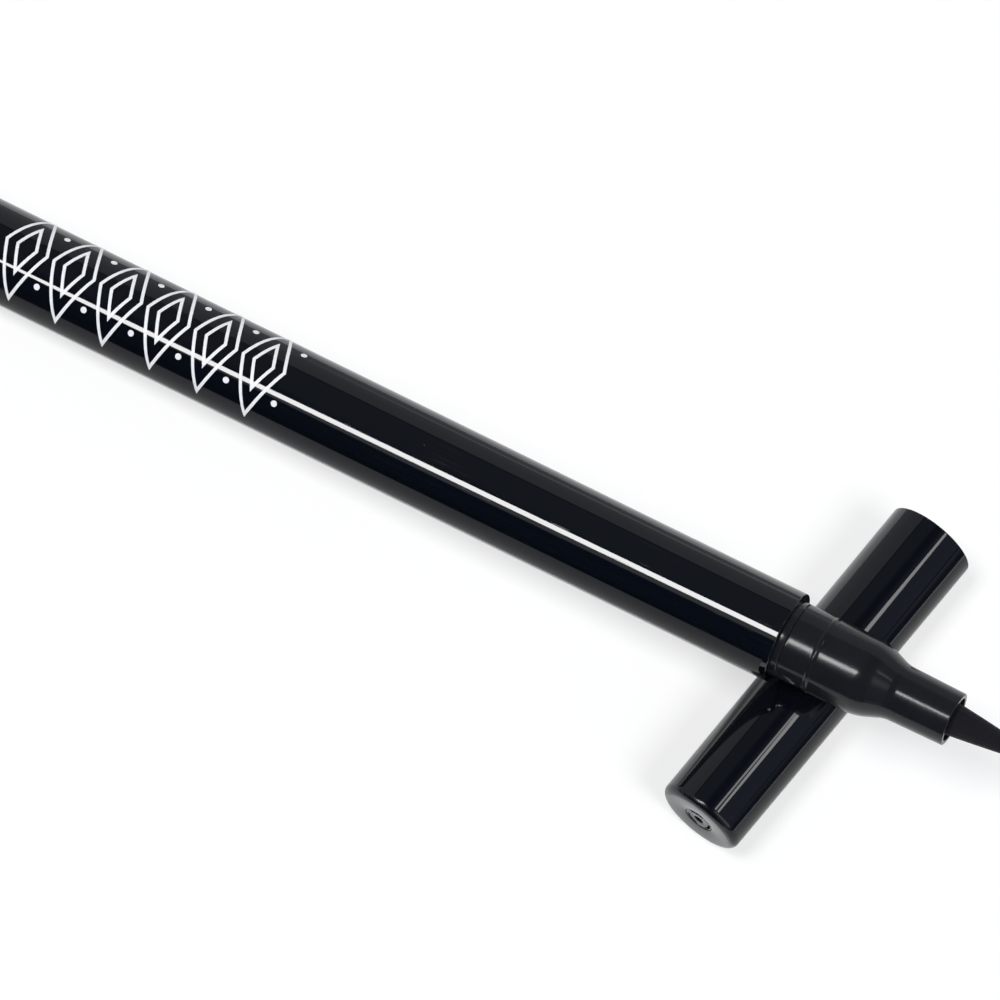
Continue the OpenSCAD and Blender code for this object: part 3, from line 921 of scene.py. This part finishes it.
def makeRoom(s):
    world = bpy.data.worlds.new("room")
    bpy.context.scene.world = world
    bench = emptyBench(world)
    x, y, z = bench.axes(bench.add("ShaderNodeTexCoord", output=0))
    front = -1 * y
    left = -1 * x * s["leftSlope"] - z
    back = y * s["backSlope"] - z
    leftWall = left.above(*s["wallEdge"]) * (1 - front.above(*s["leftWallEnd"]))
    backWall = back.above(*s["wallEdge"])
    cornice = left.between(*s["corniceEdges"]) + back.between(*s["corniceEdges"])
    coneSide = x.above(*s["glowFrom"]) * front.between(*s["glowEdges"])
    overhead = (*s["ceiling"], 1)
    for share, tone in (
            (x.between(*s["darkStrip"]), "cornice"), (front.above(*s["frontEdge"]), "front"),
            (x.above(*s["rightEdge"]), "right"), (coneSide, "coneGlow"), (cornice, "cornice"),
            (1 - (1 - leftWall) * (1 - backWall), "wall")):
        overhead = bench.blend(share, overhead, (*s[tone], 1))
    pale = bench.blend(front.above(*s["paleEnd"]), (*s["horizon"], 1), (*s["front"], 1))
    colour = bench.blend(1 - z.above(*s["horizonEdge"]), overhead, pale)
    sky = bench.add("ShaderNodeBackground", inputs={"Color": colour, "Strength": 1.0})
    bench.add("ShaderNodeOutputWorld", inputs={"Surface": sky})


makeRoom(room)


# Lamps: two soft boxes give the light, and ceiling tubes show only in the gloss
# Each hangs at a place in metres, with its back turned that way

lamps = {
    "leftBox": {"at": (-0.28, -0.26, 1.24), "back": (-0.28, -0.26, 1.24), "along": (1, 0, 0),
                "length": 0.4, "width": 0.4, "radiance": 19.0, "inGloss": False},
    "rightBox": {"at": (0.78, -0.26, 1.0), "back": (0.78, -0.26, 1.0), "along": (0, 1, 0),
                 "length": 0.4, "width": 0.4, "radiance": 15.5, "inGloss": False},
    "penTube": {"at": (-0.516, -0.75, 1.25), "back": (0, 0, 1), "along": (0.656, 0.755, 0),
                "length": 0.95, "width": 0.175, "radiance": 21.0, "inGloss": True},
    "penGlow": {"at": (-0.41, -0.91, 1.25), "back": (0, 0, 1), "along": (0.656, 0.755, 0),
                "length": 0.95, "width": 0.2, "radiance": 0.6, "inGloss": True},
    "capTube": {"at": (0.865, 0.3, 1.25), "back": (0, 0, 1), "along": (0.871, -0.491, 0),
                "length": 0.36, "width": 0.13, "radiance": 4.8, "inGloss": True},
    "capShortTube": {"at": (0.68, 0.25, 1.25), "back": (0, 0, 1), "along": (0, 1, 0),
                     "length": 0.1, "width": 0.13, "radiance": 4.0, "inGloss": True},
}


def hangLamp(name, s):
    back = Vector(s["back"]).normalized()
    along = Vector(s["along"])
    data = bpy.data.lights.new(name, "AREA")
    data.shape = "RECTANGLE"
    data.size = s["length"]
    data.size_y = s["width"]
    data.energy = s["radiance"] * math.pi * s["length"] * s["width"]
    lamp = bpy.data.objects.new(name, data)
    bpy.context.scene.collection.objects.link(lamp)
    lamp.visible_glossy = s["inGloss"]
    lamp.visible_diffuse = not s["inGloss"]
    lampX = (along - back * along.dot(back)).normalized()
    turn = Matrix((lampX, back.cross(lampX), back)).transposed().to_4x4()
    lamp.matrix_world = Matrix.Translation(Vector(s["at"])) @ turn


for lampName, lampSize in lamps.items():
    hangLamp(lampName, lampSize)


# Camera at the photograph's angle

cameraSize = {"lens": 180.0, "sensor": 36.0, "azimuth": 29.448, "elevation": 68.549,
              "distance": 0.54427, "target": (-0.000522, 0.002885, 0.0)}


def makeCamera(s):
    azimuth = math.radians(s["azimuth"])
    elevation = math.radians(s["elevation"])
    back = Vector((math.cos(elevation) * math.sin(azimuth), -math.cos(elevation) * math.cos(azimuth),
                   math.sin(elevation)))
    data = bpy.data.cameras.new("photoCamera")
    data.lens = s["lens"]
    data.sensor_width = s["sensor"]
    camera = bpy.data.objects.new("photoCamera", data)
    bpy.context.scene.collection.objects.link(camera)
    camera.rotation_mode = "QUATERNION"
    camera.location = Vector(s["target"]) + back * s["distance"]
    camera.rotation_quaternion = (-back).to_track_quat("-Z", "Y")
    bpy.context.scene.camera = camera


makeCamera(cameraSize)
bpy.context.scene.view_settings.view_transform = "Standard"
